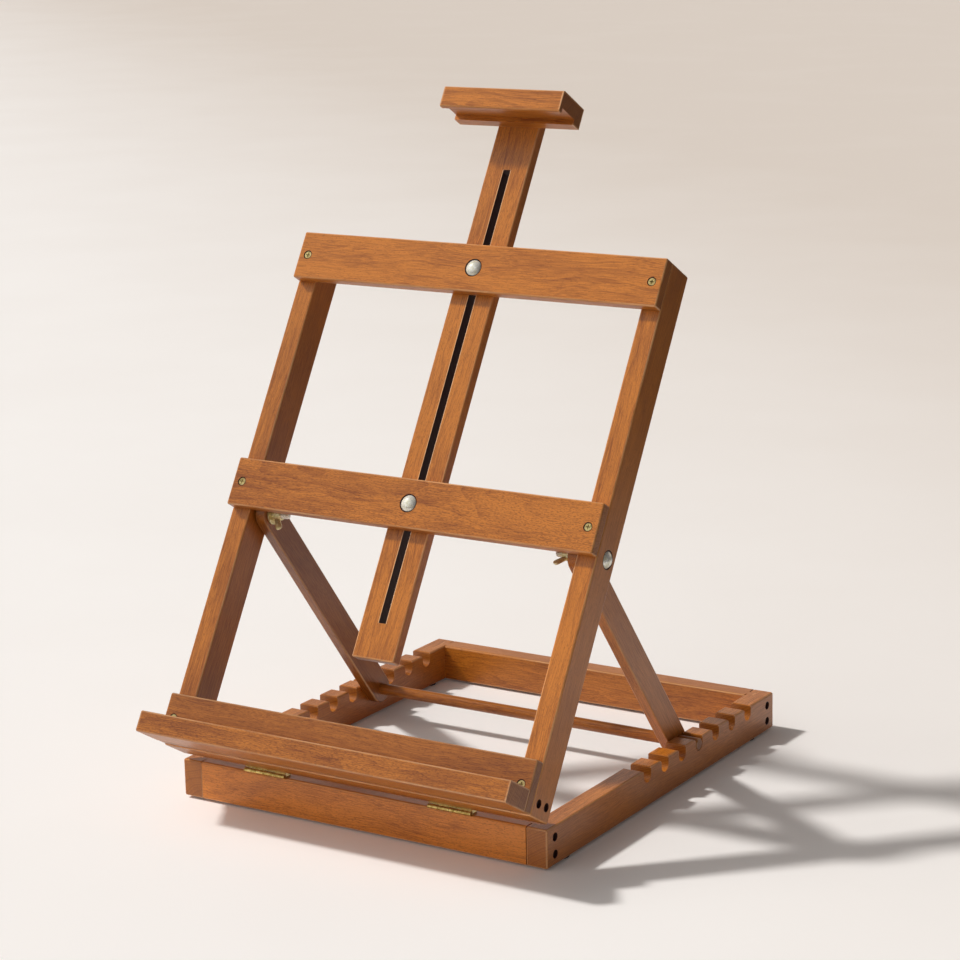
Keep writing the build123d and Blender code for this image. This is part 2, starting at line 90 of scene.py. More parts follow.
def middle_of(node):
    """The middle of a node's box."""
    low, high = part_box(node)
    return np.array((low + high) / 2)


pivot = np.array(joints["prop_swing"]["pos_m"])
reach = middle_of("prop_dowel") - pivot
strut_length = np.linalg.norm(reach)
strut_line = reach / strut_length
print("slope", slope.round(4), "facing", facing.round(4), "strut", round(float(strut_length), 4))


def points_of(node):
    """All points of a node's mesh, as rows of an array."""
    mesh = nodes[node].data
    points = np.empty(3 * len(mesh.vertices), np.float32)
    mesh.vertices.foreach_get("co", points)
    return points.reshape(-1, 3).astype(float)


def extent(node, axes):
    """The middle and the half sizes of a node along three directions, from all its points at once."""
    along = points_of(node) @ np.array(axes).T
    low = along.min(axis=0)
    high = along.max(axis=0)
    return (low + high) / 2, (high - low) / 2


# %% [markdown]
# A material in Blender is a tree of nodes. Writing one in code is easier to read with a few small
# helpers: each makes one node, plugs in numbers or other nodes' outputs, and returns its output.

# %% Helpers for shader trees
def plug(tree, socket, value):
    """Links a socket to another node's output, or sets it to a plain value."""
    if isinstance(value, bpy.types.NodeSocket):
        tree.links.new(value, socket)
    else:
        socket.default_value = value


def add_node(tree, kind, values=(), **settings):
    """A new shader node with its settings, and its first inputs set or linked in order."""
    made = tree.nodes.new("ShaderNode" + kind)
    for name, setting in settings.items():
        setattr(made, name, setting)
    for socket, value in zip(made.inputs, values):
        plug(tree, socket, value)
    return made


def calc(tree, operation, *values):
    """The result of a sum, product or other plain operation on numbers."""
    return add_node(tree, "Math", values, operation=operation).outputs[0]


def dot(tree, vector, direction):
    """How far a vector reaches along a fixed direction."""
    return add_node(tree, "VectorMath", (vector, tuple(direction)), operation="DOT_PRODUCT").outputs[1]


def triple(tree, *values):
    """Three numbers as one vector."""
    return add_node(tree, "CombineXYZ", values).outputs[0]


def cloud(tree, vector, detail=1.0):
    """Smooth noise about 0.5 with features one unit wide."""
    made = add_node(tree, "TexNoise", (vector,), noise_dimensions="3D")
    made.inputs["Scale"].default_value = 1.0
    made.inputs["Detail"].default_value = detail
    return made


def object_point(tree):
    """The place of the point that is shaded, in the frame's own metres."""
    return add_node(tree, "TexCoord").outputs["Object"]


def scaled(tree, vector, factor):
    """A vector times a number."""
    made = add_node(tree, "VectorMath", (vector,), operation="SCALE")
    made.inputs["Scale"].default_value = factor
    return made.outputs[0]


def fade(tree, value, start, end, low=0.0, high=1.0):
    """Runs smoothly from low to high as the value goes from start to end."""
    made = add_node(tree, "MapRange", (value, start, end, low, high), interpolation_type="SMOOTHSTEP")
    return made.outputs[0]


def mix(tree, share, first, second):
    """One colour over another, by a share from 0 to 1."""
    made = add_node(tree, "Mix", data_type="RGBA", clamp_factor=True)
    plug(tree, made.inputs[0], share)
    plug(tree, made.inputs[6], first)
    plug(tree, made.inputs[7], second)
    return made.outputs[2]


def paint(red, green, blue, strength=1.0):
    """A colour in Blender's linear values, from the 0 to 255 values that a screen shows."""
    values = np.array([red, green, blue]) / 255
    linear = np.where(values > 0.04045, ((values + 0.055) / 1.055) ** 2.4, values / 12.92)
    return (*(linear * strength).tolist(), 1.0)


def new_material(name):
    """A material with an empty tree but for its shader and its output."""
    material = bpy.data.materials.new(name)
    material.use_nodes = True
    shader = material.node_tree.nodes["Principled BSDF"]
    return material, material.node_tree, shader


def roughen(tree, shader, height, strength, depth):
    """Tilts a shader's surface by a relief from 0 to 1, which is some part of a millimetre deep."""
    bump = add_node(tree, "Bump")
    bump.inputs["Strength"].default_value = strength
    bump.inputs["Distance"].default_value = depth * millimetre
    plug(tree, bump.inputs["Height"], height)
    plug(tree, shader.inputs["Normal"], bump.outputs[0])


print("a mid brown in linear values", [round(v, 3) for v in paint(186, 116, 62)])

# %% [markdown]
# Beech shows three things. Growth rings lie round the pith, the middle of the trunk, which is
# outside these small bars: they are broad soft bands on a face and fine arcs on an end. Rays run
# out from the pith as thin ribbons, which a flat-sawn face cuts into short dark dashes. The fibres
# are a fine streak along the grain. A picture of planks could be laid on the faces, but it would
# break at the edges. Here the figure is worked out in space, from the distance and the angle
# about the pith, so faces, arrises, notches and ends all cut the same wood.

# %% The figure of beech
bend_reach = 14.0
bend_rate_along = 0.0075
bend_rate_across = 0.022
ring_pitch = 2.3
ring_unevenness = 1.6
late_wood = 2.2
ray_length = 2.6
ray_spacing = 0.45
ray_reach = 9.0
ray_start = 0.6
fleck_reach = 0.08
fibre_rate_along = 0.05
fibre_rate_across = 2.2
patch_rate_along = 0.014
patch_rate_across = 0.05


def wood_place(tree, axes, centre, seed):
    """A point's place in millimetres from a bar's middle: grain, side and face, and the last two bent."""
    point = object_point(tree)
    grain, side, face = [
        calc(tree, "MULTIPLY", calc(tree, "SUBTRACT", dot(tree, point, axis), float(at)), 1 / millimetre)
        for axis, at in zip(axes, centre)
    ]
    slow = triple(
        tree,
        calc(tree, "MULTIPLY_ADD", grain, bend_rate_along, seed),
        calc(tree, "MULTIPLY_ADD", side, bend_rate_across, seed),
        calc(tree, "MULTIPLY", face, bend_rate_across),
    )
    bend = add_node(tree, "SeparateColor", (cloud(tree, slow, 2.0).outputs["Color"],))
    side_bent = calc(tree, "MULTIPLY_ADD", bend.outputs[0], bend_reach, side)
    face_bent = calc(tree, "MULTIPLY_ADD", bend.outputs[1], bend_reach, face)
    return grain, side, face, side_bent, face_bent


def about_the_pith(tree, side, face, pith):
    """The distance from the pith, and the arc about it: the angle times the pith's own distance."""
    side_off = calc(tree, "SUBTRACT", side, pith[0])
    face_off = calc(tree, "SUBTRACT", face, pith[1])
    squares = calc(tree, "MULTIPLY_ADD", side_off, side_off, calc(tree, "MULTIPLY", face_off, face_off))
    distance = calc(tree, "SQRT", squares)
    away = calc(tree, "MULTIPLY", face_off, -math.copysign(1, pith[1]))
    angle = calc(tree, "ARCTAN2", side_off, away)
    return distance, calc(tree, "MULTIPLY", angle, float(math.hypot(*pith)))


def rings(tree, distance, seed):
    """Growth rings: each darkens slowly outwards and ends at once, and some are darker than others."""
    count = calc(tree, "DIVIDE", distance, ring_pitch)
    uneven = cloud(tree, triple(tree, calc(tree, "MULTIPLY", count, 0.45), seed, 0.0)).outputs["Fac"]
    count = calc(tree, "MULTIPLY_ADD", uneven, ring_unevenness, count)
    within = calc(tree, "POWER", calc(tree, "FRACT", count), late_wood)
    years = cloud(tree, triple(tree, calc(tree, "MULTIPLY", count, 0.8), seed + 5, 0.0)).outputs["Fac"]
    return calc(tree, "MULTIPLY", within, fade(tree, years, 0.3, 0.65, 0.25, 1.0))


def rays(tree, grain, arc, distance, seed, fleck):
    """Dark dashes: noise stretched along the grain and far along the radius, kept where it is high."""
    ribbon = triple(
        tree,
        calc(tree, "MULTIPLY_ADD", grain, 1 / ray_length, seed),
        calc(tree, "MULTIPLY", arc, 1 / ray_spacing),
        calc(tree, "MULTIPLY", distance, 1 / ray_reach),
    )
    start = ray_start - fleck_reach * fleck
    return fade(tree, cloud(tree, ribbon, 1.0).outputs["Fac"], start, start + 0.1)


def fibres(tree, grain, side, face, seed):
    """The fine streak of the fibres: noise that is over forty times as long as it is wide."""
    streak = triple(
        tree,
        calc(tree, "MULTIPLY_ADD", grain, fibre_rate_along, seed),
        calc(tree, "MULTIPLY", side, fibre_rate_across),
        calc(tree, "MULTIPLY", face, fibre_rate_across),
    )
    return cloud(tree, streak, 3.0).outputs["Fac"]


def patches(tree, grain, side, face, seed):
    """Broad soft patches, where the wood drank more stain or less."""
    place = triple(
        tree,
        calc(tree, "MULTIPLY_ADD", grain, patch_rate_along, seed + 9),
        calc(tree, "MULTIPLY", side, patch_rate_across),
        calc(tree, "MULTIPLY", face, patch_rate_across),
    )
    return cloud(tree, place, 3.0).outputs["Fac"]


# %% [markdown]
# The bars' edges are rounded over, and hands and sanding leave the stain thinner there. The pale
# edge is also a painted highlight, the bright line that a rounded arris catches. A bar's edge is
# where two of its faces are near, so the middle one of the three distances to the faces is small.
# That needs no painting by hand and follows each bar's own size.

# %% The worn edges with their painted highlight, and the end grain
wear_and_highlight_width = 1.7
wear_and_highlight_core = 0.3


def near_an_edge(tree, places, half_sizes):
    """Is 1 on an arris and 0 away from it, from the middle one of the distances to the three faces."""
    gaps = [
        calc(tree, "SUBTRACT", float(half / millimetre), calc(tree, "ABSOLUTE", at))
        for at, half in zip(places, half_sizes)
    ]
    nearer = calc(tree, "MINIMUM", gaps[0], gaps[1])
    farther = calc(tree, "MAXIMUM", gaps[0], gaps[1])
    second = calc(tree, "MAXIMUM", nearer, calc(tree, "MINIMUM", farther, gaps[2]))
    return fade(tree, second, wear_and_highlight_width, wear_and_highlight_core)


def faces_along(tree, axis):
    """Is 1 where a face looks along an axis, either way, and 0 where it looks across it."""
    normal = add_node(tree, "TexCoord").outputs["Normal"]
    return fade(tree, calc(tree, "ABSOLUTE", dot(tree, normal, axis)), 0.6, 0.95)


# %% [markdown]
# Bolt heads and screw heads sit in drilled rings, and the mast has a long slot. Stain pools in
# such places and they are never sanded, and little light gets into them, so they are painted
# nearly black: pooled stain with painted shade. A ring is found by the distance from its screw's
# axis, and only near the head, or the far face would be marked too. The axes are read from the
# model: the lowest point of a set of screws is the tip of one of them, and the points that lie
# round the same axis are the rest of that screw.

# %% Drilled rings and the mast's slot
ring_ease = 0.15
ring_core = 0.03
half_slot = 3.3
slot_slack = 0.1
bolt_directions = {
    "mast_bolt_top": facing,
    "mast_bolt_middle": facing,
    "pivot_bolt_left": -across,
    "pivot_bolt_right": across,
}
screw_directions = {
    "base_corner_screws": (across, -across),
    "bottom_rail_screws": (across, -across),
    "crossbar_screws": (facing,),
    "ledge_end_screws": (facing,),
    "ledge_bar_screws": (-facing,),
    "clamp_screws": (-facing,),
}
Ring = namedtuple("Ring", "radius depth")
Line = namedtuple("Line", "middle way radius level")
sunk_ring = Ring(3.5, 1.0)
screw_ring = Ring(3.85, 1.0)
bolt_ring = Ring(7.75, 4.3)


def drilled_lines(node, way, ring, by_tip=True):
    """The axes of a node's screws or bolt that look one way, with each ring's radius and lowest level."""
    radius = ring.radius * millimetre
    points = points_of(node)
    points = points[points @ way > 0] if way[0] else points
    lines = []
    while len(points):
        level = points @ way
        flat = points - np.outer(level, way)
        middle = flat[level.argmin()] if by_tip else (flat.min(axis=0) + flat.max(axis=0)) / 2
        same = np.linalg.norm(flat - middle, axis=1) < radius
        lines.append(Line(middle, way, radius, level[same].max() - ring.depth * millimetre))
        points = points[~same]
    return lines


ring_lines = {}
for node, ways in screw_directions.items():
    ring = sunk_ring if len(ways) == 2 else screw_ring
    ring_lines[node] = [line for way in ways for line in drilled_lines(node, way, ring)]
for node, way in bolt_directions.items():
    ring_lines[node] = drilled_lines(node, way, bolt_ring, by_tip=False)
drilled_by = {
    "base_side_rail_left": ("base_corner_screws",),
    "base_side_rail_right": ("base_corner_screws",),
    "upright_left": ("bottom_rail_screws", "crossbar_screws", "ledge_end_screws", "pivot_bolt_left"),
    "upright_right": ("bottom_rail_screws", "crossbar_screws", "ledge_end_screws", "pivot_bolt_right"),
    "top_crossbar": ("crossbar_screws", "mast_bolt_top"),
    "middle_crossbar": ("crossbar_screws", "mast_bolt_middle"),
    "ledge_backboard": ("ledge_end_screws", "ledge_bar_screws"),
    "mast": ("clamp_screws",),
}
print({node: len(lines) for node, lines in ring_lines.items()})


def in_a_ring(tree, lines):
    """Is 1 in the rings round some lines, by each point's distance from the line: |offset x way|."""
    point = object_point(tree)
    dark = 0.0
    for line in lines:
        way = tuple(line.way)
        offset = add_node(tree, "VectorMath", (point, tuple(line.middle)), operation="SUBTRACT").outputs[0]
        crossed = add_node(tree, "VectorMath", (offset, way), operation="CROSS_PRODUCT").outputs[0]
        away = add_node(tree, "VectorMath", (crossed,), operation="LENGTH").outputs[1]
        outer = line.radius + ring_ease * millimetre
        ring = fade(tree, away, outer, line.radius + ring_core * millimetre)
        near_the_head = calc(tree, "GREATER_THAN", dot(tree, point, way), float(line.level))
        dark = calc(tree, "MAXIMUM", dark, calc(tree, "MULTIPLY", ring, near_the_head))
    return dark


def slot_ends():
    """The slot's two ends up the mast: the lowest and highest of the points between its walls."""
    points = points_of("mast")
    off = np.abs(points @ across - middle_of("mast")[0])
    up = (points @ slope)[off < (half_slot + slot_slack) * millimetre]
    return up.min(), up.max()


def beside_the_slot(tree, grain, side, centre):
    """Two shares: 1 on the slot's walls, which get pooled stain and painted shade, and 1 on the thin line
    along their arrises, which gets wear and a painted highlight.
    """
    low, high = [(end - centre) / millimetre for end in slot_ends()]
    half_length = float(high - low) / 2
    between = calc(tree, "ABSOLUTE", calc(tree, "SUBTRACT", grain, float(low + high) / 2))
    within = fade(tree, between, half_length + 0.3, half_length)
    off = calc(tree, "ABSOLUTE", side)
    wall = calc(tree, "MULTIPLY", within, fade(tree, off, half_slot + 0.3, half_slot + slot_slack))
    arris = calc(tree, "MULTIPLY", within, fade(tree, off, half_slot + 0.9, half_slot + 0.4))
    return wall, arris


# %% [markdown]
# The stain is a warm brown under a satin varnish. Stain gathers in the rays and in the end grain,
# which drink more of it, and lies unevenly over a face. A bar's flanks are cut across the rings
# and look quieter, and on its ends the rings are darker arcs. The varnish is a thin satin coat,
# which shows most where it is seen at a slant. The rays and fibres lie a little below it, as the
# bump says.

# %% Stained beech
stain_light = (202, 121, 36)
stain_deep = (136, 68, 9)
ray_stain = (104, 46, 6)
end_stain = (138, 82, 30)
# the pale edge colour: thinner stain on the arrises, and a painted highlight there
worn_stain_and_highlight = (244, 190, 136)
# the near-black colour in drilled rings and the slot: pooled stain and painted shade
pooled_stain_and_painted_shade = (58, 22, 11)
ring_share = 0.45
fibre_shares = (-0.26, 0.4)
patch_shares = (-0.14, 0.3)
middling = 0.24
ray_share = 0.26
fleck_share = 0.28
flank_ray_share = 0.3
end_share = 0.45
end_ring_share = 0.55
satin = (0.34, 0.44)
ray_matt = 0.1
pooled_and_shaded_matt = 0.5
varnish_weight = 0.2
varnish_roughness = 0.34
varnish_index = 1.5
ray_height = -0.7
fibre_height = 0.8
Timber = namedtuple("Timber", "axes pith tone depth drift fleck")


def stain_depth(tree, timber, figure, grain, half_length):
    """How far the stain goes from light to deep, with its drift along the bar."""
    ring, fibre, patch, flank, end = figure
    marks = calc(tree, "MULTIPLY_ADD", ring, ring_share, fade(tree, fibre, 0.34, 0.66, *fibre_shares))
    marks = calc(tree, "ADD", marks, fade(tree, patch, 0.3, 0.7, *patch_shares))
    quiet = fade(tree, calc(tree, "MAXIMUM", flank, end), 0.0, 1.0, 1.0, 0.6)
    off_middling = calc(tree, "SUBTRACT", marks, middling)
    deep = calc(tree, "MULTIPLY_ADD", off_middling, quiet, timber.depth + middling)
    return calc(tree, "MULTIPLY_ADD", grain, -timber.drift * millimetre / float(half_length), deep)


def varnish(tree, shader, ray, fibre, pooled_and_shaded):
    """A satin coat over fine relief: rays and fibres lie below it, and pooled stain with its painted shade
    is matt.
    """
    rough = calc(tree, "MULTIPLY_ADD", ray, ray_matt, fade(tree, fibre, 0.3, 0.7, *satin))
    plug(tree, shader.inputs["Roughness"], calc(tree, "MULTIPLY_ADD", pooled_and_shaded, pooled_and_shaded_matt, rough))
    shader.inputs["IOR"].default_value = varnish_index
    shader.inputs["Coat Weight"].default_value = varnish_weight
    shader.inputs["Coat Roughness"].default_value = varnish_roughness
    fibre_relief = calc(tree, "MULTIPLY", fibre, fibre_height)
    height = calc(tree, "MULTIPLY_ADD", ray, ray_height, fibre_relief)
    roughen(tree, shader, height, 0.35, 0.06)


def stained_beech(node, timber, seed):
    """The finish of one bar.

    Tone and depth set how light and how deep its stain is, and drift how much deeper it is where
    the grain starts than in the middle. On the left strut and the left upright the lower tone and
    greater depth are painted shade. Fleck sets how marked the rays are.
    """
    material, tree, shader = new_material(f"beech_{node}")
    centre, half_sizes = extent(node, timber.axes)
    grain, side, face, side_bent, face_bent = wood_place(tree, timber.axes, centre, seed)
    distance, arc = about_the_pith(tree, side_bent, face_bent, timber.pith)
    end = faces_along(tree, timber.axes[0])
    flank = faces_along(tree, timber.axes[1])
    ring = rings(tree, distance, seed)
    ray = rays(tree, grain, arc, distance, seed, timber.fleck)
    ray = calc(tree, "MULTIPLY", ray, fade(tree, flank, 0.0, 1.0, 1.0, flank_ray_share))
    fibre = fibres(tree, grain, side_bent, face_bent, seed)
    patch = patches(tree, grain, side, face, seed)

    edge = near_an_edge(tree, (grain, side, face), half_sizes)
    # the pale line on the arrises is wear and a painted highlight
    wear_and_highlight = calc(tree, "MULTIPLY", edge, fade(tree, patch, 0.35, 0.65, 0.25, 0.7))
    # drilled rings and the slot's walls get pooled stain and painted shade
    pooled_and_shaded = in_a_ring(tree, [line for holes in drilled_by.get(node, ()) for line in ring_lines[holes]])
    if node == "mast":
        wall, arris = beside_the_slot(tree, grain, side, float(centre[0]))
        wear_and_highlight = calc(tree, "MAXIMUM", wear_and_highlight, arris)
        pooled_and_shaded = calc(tree, "MAXIMUM", pooled_and_shaded, wall)

    deep = stain_depth(tree, timber, (ring, fibre, patch, flank, end), grain, half_sizes[0])
    colour = mix(tree, deep, paint(*stain_light, timber.tone), paint(*stain_deep, timber.tone))
    end_ring = calc(tree, "MULTIPLY", calc(tree, "MULTIPLY", ring, end), end_ring_share)
    for share, stain in (
        (calc(tree, "MULTIPLY", ray, ray_share + fleck_share * timber.fleck), ray_stain),
        (calc(tree, "MULTIPLY", end, end_share), end_stain),
        (end_ring, ray_stain),
        (wear_and_highlight, worn_stain_and_highlight),
    ):
        colour = mix(tree, share, colour, paint(*stain, timber.tone))
    plug(tree, shader.inputs["Base Color"], mix(tree, pooled_and_shaded, colour, paint(*pooled_stain_and_painted_shade)))
    varnish(tree, shader, ray, fibre, pooled_and_shaded)
    return material


print("stain from", stain_light, "to", stain_deep, "and", pooled_stain_and_painted_shade, "where it pools")

# %% [markdown]
# Each bar is its own piece of timber: its grain runs along its length, and the pith lies off to
# one side of it, behind or below, by a few centimetres. The place of the pith decides whether a
# face shows broad figure or straight lines, so it is set bar by bar from what the faces show. A
# row holds a bar's three axes, its pith from its middle in millimetres, and its tone, depth, drift
# and fleck.

# %% Give every bar its own timber
along_frame = (across, slope, facing)
up_frame = (slope, across, facing)
along_base = (across, upward, -rearward)
back_base = (rearward, across, upward)
along_strut = (strut_line, across, np.cross(across, strut_line))

# the left strut and the left upright have a lower tone and more depth than their right twins: painted
# shade on faces that lie in shade
timber_rows = {
    "base_side_rail_left": (back_base, (38, -52), 0.92, 0.16, 0.0, 0.4),
    "base_side_rail_right": (back_base, (46, -50), 1.0, 0.1, 0.0, 0.4),
    "base_front_rail": (along_base, (14, -64), 1.12, 0.0, 0.08, 0.5),
    "base_rear_rail": (along_base, (-24, -58), 0.92, 0.16, 0.0, 0.5),
    "upright_left": (up_frame, (-26, -60), 0.9, 0.16, 0.0, 0.35),
    "upright_right": (up_frame, (30, -64), 1.0, 0.07, -0.1, 0.35),
    "bottom_rail": (along_frame, (20, -50), 0.85, 0.16, 0.0, 0.4),
    "top_crossbar": (along_frame, (-34, -72), 1.03, 0.03, 0.0, 0.25),
    "middle_crossbar": (along_frame, (26, -70), 0.98, 0.06, 0.2, 0.95),
    "ledge_backboard": (along_frame, (-30, -66), 0.76, 0.28, 0.0, 0.5),
    "ledge_bar": (along_frame, (-8, -90), 0.86, 0.18, 0.0, 1.0),
    "mast": (up_frame, (40, -70), 0.98, 0.04, 0.0, 0.45),
    "mast_clamp": (along_frame, (-30, -80), 1.04, 0.04, 0.0, 0.2),
    "strut_left": (along_strut, (30, -60), 0.72, 0.32, 0.0, 0.25),
    "strut_right": (along_strut, (-34, -62), 1.0, 0.1, 0.0, 0.25),
    "prop_dowel": (along_base, (24, -52), 0.78, 0.2, 0.0, 0.3),
}


def dress(node, material):
    """Puts a finish in a CAD node's own material slot."""
    mesh = nodes[node].data
    mesh.materials.clear()
    mesh.materials.append(material)


for index, (node, row) in enumerate(timber_rows.items()):
    dress(node, stained_beech(node, Timber(*row), seed=3.7 * index + 1.3))
print(f"{len(timber_rows)} bars of beech")

# %% [markdown]
# The hardware is steel with a thin brass plating. It is a metal, so its colour is the colour of
# its reflections. The plating is duller on the screws, which were driven with a bit. The bolts'
# domes are painted near white and made only about a third metal, so they look pale and bright
# from every side: a painted reflection of the pale room. The screws that lie deep in the side
# faces are painted dark brown and not metal: painted shade for the deep holes they sit in. Fine
# noise on the roughness and a slight bump keep it from looking like foil.

# %% Brass plating
tarnish_rate = 0.35 / millimetre
scuff_rate = 3.5 / millimetre


def brass(name, colour, dull_colour, roughness, unevenness, grit, metal=1.0):
    """Brass plating: two tones of metal, mixed by soft noise, with an uneven polish."""
    material, tree, shader = new_material(name)
    point = object_point(tree)
    tarnish = cloud(tree, scaled(tree, point, tarnish_rate), 3.0).outputs["Fac"]
    scuff = cloud(tree, scaled(tree, point, scuff_rate), 2.0).outputs["Fac"]
    dulled = mix(tree, fade(tree, tarnish, 0.35, 0.7), colour, dull_colour)
    plug(tree, shader.inputs["Base Color"], dulled)
    shader.inputs["Metallic"].default_value = metal
    polish = fade(tree, tarnish, 0.3, 0.7, roughness, roughness + unevenness)
    plug(tree, shader.inputs["Roughness"], calc(tree, "MULTIPLY_ADD", scuff, 0.08, polish))
    roughen(tree, shader, scuff, grit, 0.03)
    return material


# the bolts' domes: near white and partly metal, a painted reflection
bolt_plating_and_painted_reflection = brass("bolt_plating_and_painted_reflection", paint(255, 254, 246), paint(236, 233, 208), 0.16, 0.14, 0.12, 0.35)
nut_plating = brass("nut_plating", paint(240, 228, 184), paint(204, 186, 130), 0.22, 0.14, 0.3, 0.85)
screw_plating = brass("screw_plating", paint(220, 202, 142), paint(160, 138, 84), 0.28, 0.16, 0.25, 0.8)
# the deep-set screws: dark brown and not metal, as painted shade
sunk_screws_painted_shade = brass("sunk_screws_painted_shade", paint(66, 34, 22), paint(42, 21, 14), 0.6, 0.2, 0.25, 0.0)
hinge_plating = brass("hinge_plating", paint(222, 200, 128), paint(176, 150, 80), 0.22, 0.16, 0.25)

hinge_parts = [node for node in nodes if node.startswith("hinge_")]
sunk_parts = ["base_corner_screws", "bottom_rail_screws"]
screw_parts = [node for node in screw_directions if node not in sunk_parts]
nut_parts = [node for node in nodes if "_wing_nut_" in node]
washer_parts = [node for node in nodes if "_washer_" in node or "_spacer_" in node]
for parts, plating in (
    (hinge_parts, hinge_plating),
    (screw_parts, screw_plating),
    (sunk_parts, sunk_screws_painted_shade),
    (washer_parts, nut_plating),
):
    for node in parts:
        dress(node, plating)
print(len(hinge_parts), "hinge parts,", len(screw_parts + sunk_parts), "sets of screws")
print(len(nut_parts), "wing nuts and", len(washer_parts), "washers")

# %% [markdown]
# The base stands on four thin pads of dark rubber. Moulded rubber is matt with a fine grain, and
# picks up a little dust, which a lighter noise gives.

# %% Rubber feet
def rubber(name):
    """Dark moulded rubber with a fine grain and a trace of dust."""
    material, tree, shader = new_material(name)
    grain = cloud(tree, scaled(tree, object_point(tree), 2.0 / millimetre), 4.0).outputs["Fac"]
    plug(tree, shader.inputs["Base Color"], mix(tree, grain, paint(38, 35, 33), paint(74, 70, 66)))
    plug(tree, shader.inputs["Roughness"], fade(tree, grain, 0.3, 0.7, 0.7, 0.9))
    roughen(tree, shader, grain, 0.4, 0.05)
    return material


dress("base_foot_pads", rubber("pad_rubber"))
print("four pads of", nodes["base_foot_pads"].data.materials[0].name)

# %% [markdown]
# New pieces are surfaces: points on a grid of rows and columns, worked out as whole arrays. One
# helper turns such a grid into a closed mesh. Where a surface has poles, one point closes each
# end as a fan. It measures its own volume, and turns the faces round if they point inwards.

# %% Helpers for surfaces
sharp_angle = math.radians(38)


def signed_volume(points, faces):
    """The sum of the tetrahedra between the origin and the faces' triangles."""
    total = 0.0
    for size in {len(face) for face in faces}:
        corners = points[np.array([face for face in faces if len(face) == size])]
        for step in range(1, size - 1):
            first, second, third = corners[:, 0], corners[:, step], corners[:, step + 1]
            total += np.einsum("ij,ij->i", first, np.cross(second, third)).sum() / 6
    return total


def skin(rows):
    """Points and faces of a grid whose rows are closed rings and whose two ends are closed by fans."""
    count, around = rows.shape[:2]
    here = np.arange(around)
    beyond = np.roll(here, -1)
    starts = np.arange(count - 1)[:, None] * around
    nexts = starts + around
    quads = np.stack([starts + here, starts + beyond, nexts + beyond, nexts + here], -1)
    points = np.vstack([rows.reshape(-1, 3), rows[0].mean(axis=0), rows[-1].mean(axis=0)])
    first_pole = count * around
    last = first_pole - around
    near_fan = np.stack([beyond, here, np.full(around, first_pole)], -1)
    far_fan = np.stack([last + here, last + beyond, np.full(around, first_pole + 1)], -1)
    return points, quads.reshape(-1, 4).tolist() + near_fan.tolist() + far_fan.tolist()


def ring_skin(rows):
    """Points and faces of a grid that is closed both ways, like a ring with a bore."""
    count, around = rows.shape[:2]
    here = np.arange(around)
    beyond = np.roll(here, -1)
    starts = np.arange(count)[:, None] * around
    nexts = np.roll(np.arange(count), -1)[:, None] * around
    quads = np.stack([starts + here, starts + beyond, nexts + beyond, nexts + here], -1)
    return rows.reshape(-1, 3), quads.reshape(-1, 4).tolist()


def turned_rows(profile, angle):
    """Rows of points about Z, from pairs of a radius at each angle and a height."""
    return np.stack([
        np.stack([radius * np.cos(angle), radius * np.sin(angle), np.full(len(angle), height)], -1)
        for radius, height in profile
    ])


def new_piece(name, skins, place, material, body, stands_for):
    """One smooth object from closed skins in millimetres, put by a turn and a shift, riding on a body."""
    turn, shift = place
    all_points = []
    all_faces = []
    for points, faces in skins:
        if signed_volume(points, faces) < 0:
            faces = [face[::-1] for face in faces]
        offset = sum(len(some) for some in all_points)
        all_points.append(points * millimetre @ turn.T + shift)
        all_faces += [[corner + offset for corner in face] for face in faces]
    mesh = bpy.data.meshes.new(name)
    mesh.from_pydata(np.vstack(all_points).tolist(), [], all_faces)
    mesh.shade_smooth()
    mesh.set_sharp_from_angle(angle=sharp_angle)
    mesh.materials.append(material)
    piece = bpy.data.objects.new(name, mesh)
    bpy.context.scene.collection.objects.link(piece)
    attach(piece, body)
    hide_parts(stands_for)
    return piece


print("edges sharper than", round(math.degrees(sharp_angle)), "degrees stay crisp")

# %% [markdown]
# A carriage bolt has a low dome that bears on the wood, a square neck that bites into it and
# stops it turning, and a rolled thread. A thread is one groove that winds round the shank, so the
# radius at any point only depends on its height less its angle as a share of a turn. The grid
# samples that often enough to keep the crests crisp.

# %% Carriage bolts
head_radius = 6.8
head_rise = 3.3
neck_half = 3.0
neck_length = 3.5
shank_radius = 2.95
thread_pitch = 1.0
thread_depth = 0.45
thread_steps = 8
flank_slope = 2.4
root_width = 0.1
point_length = 0.8
point_taper = 0.8
underside = -0.12
neck_collar = 0.6
neck_corner = 1.3


def bolt_skin(length, around=48):
    """A bolt along Z with its head's seat at height 0: spherical cap, square neck and threaded shank.

    The cap's sphere has the radius (r^2 + h^2) / 2h, for a head of radius r and rise h.
    """
    angle = np.linspace(0, 2 * np.pi, around, endpoint=False)
    sphere = (head_radius**2 + head_rise**2) / (2 * head_rise)
    cap = np.linspace(0.02, 1.0, 16) * np.arcsin(head_radius / sphere)
    rows = [(sphere * np.sin(a), head_rise - sphere * (1 - np.cos(a))) for a in cap]
    rows += [(head_radius, underside), (neck_half + neck_collar, underside)]
    square = neck_half / np.maximum(np.abs(np.cos(angle)), np.abs(np.sin(angle)))
    square = np.minimum(square, neck_half * neck_corner)
    rows += [(square, underside - 0.01), (square, -neck_length)]
    steps = int(thread_steps * (length - neck_length) / thread_pitch)
    for down in np.linspace(neck_length + 0.1, length, steps):
        winding = (down / thread_pitch - angle / (2 * np.pi)) % 1.0
        crest = np.clip(flank_slope * np.abs(winding - 0.5) - root_width, 0.0, 1.0)
        point = max(0.0, down - length + point_length)
        rows.append((shank_radius - thread_depth * (1 - crest) - point_taper * point, -down))
    return skin(turned_rows(rows, angle))


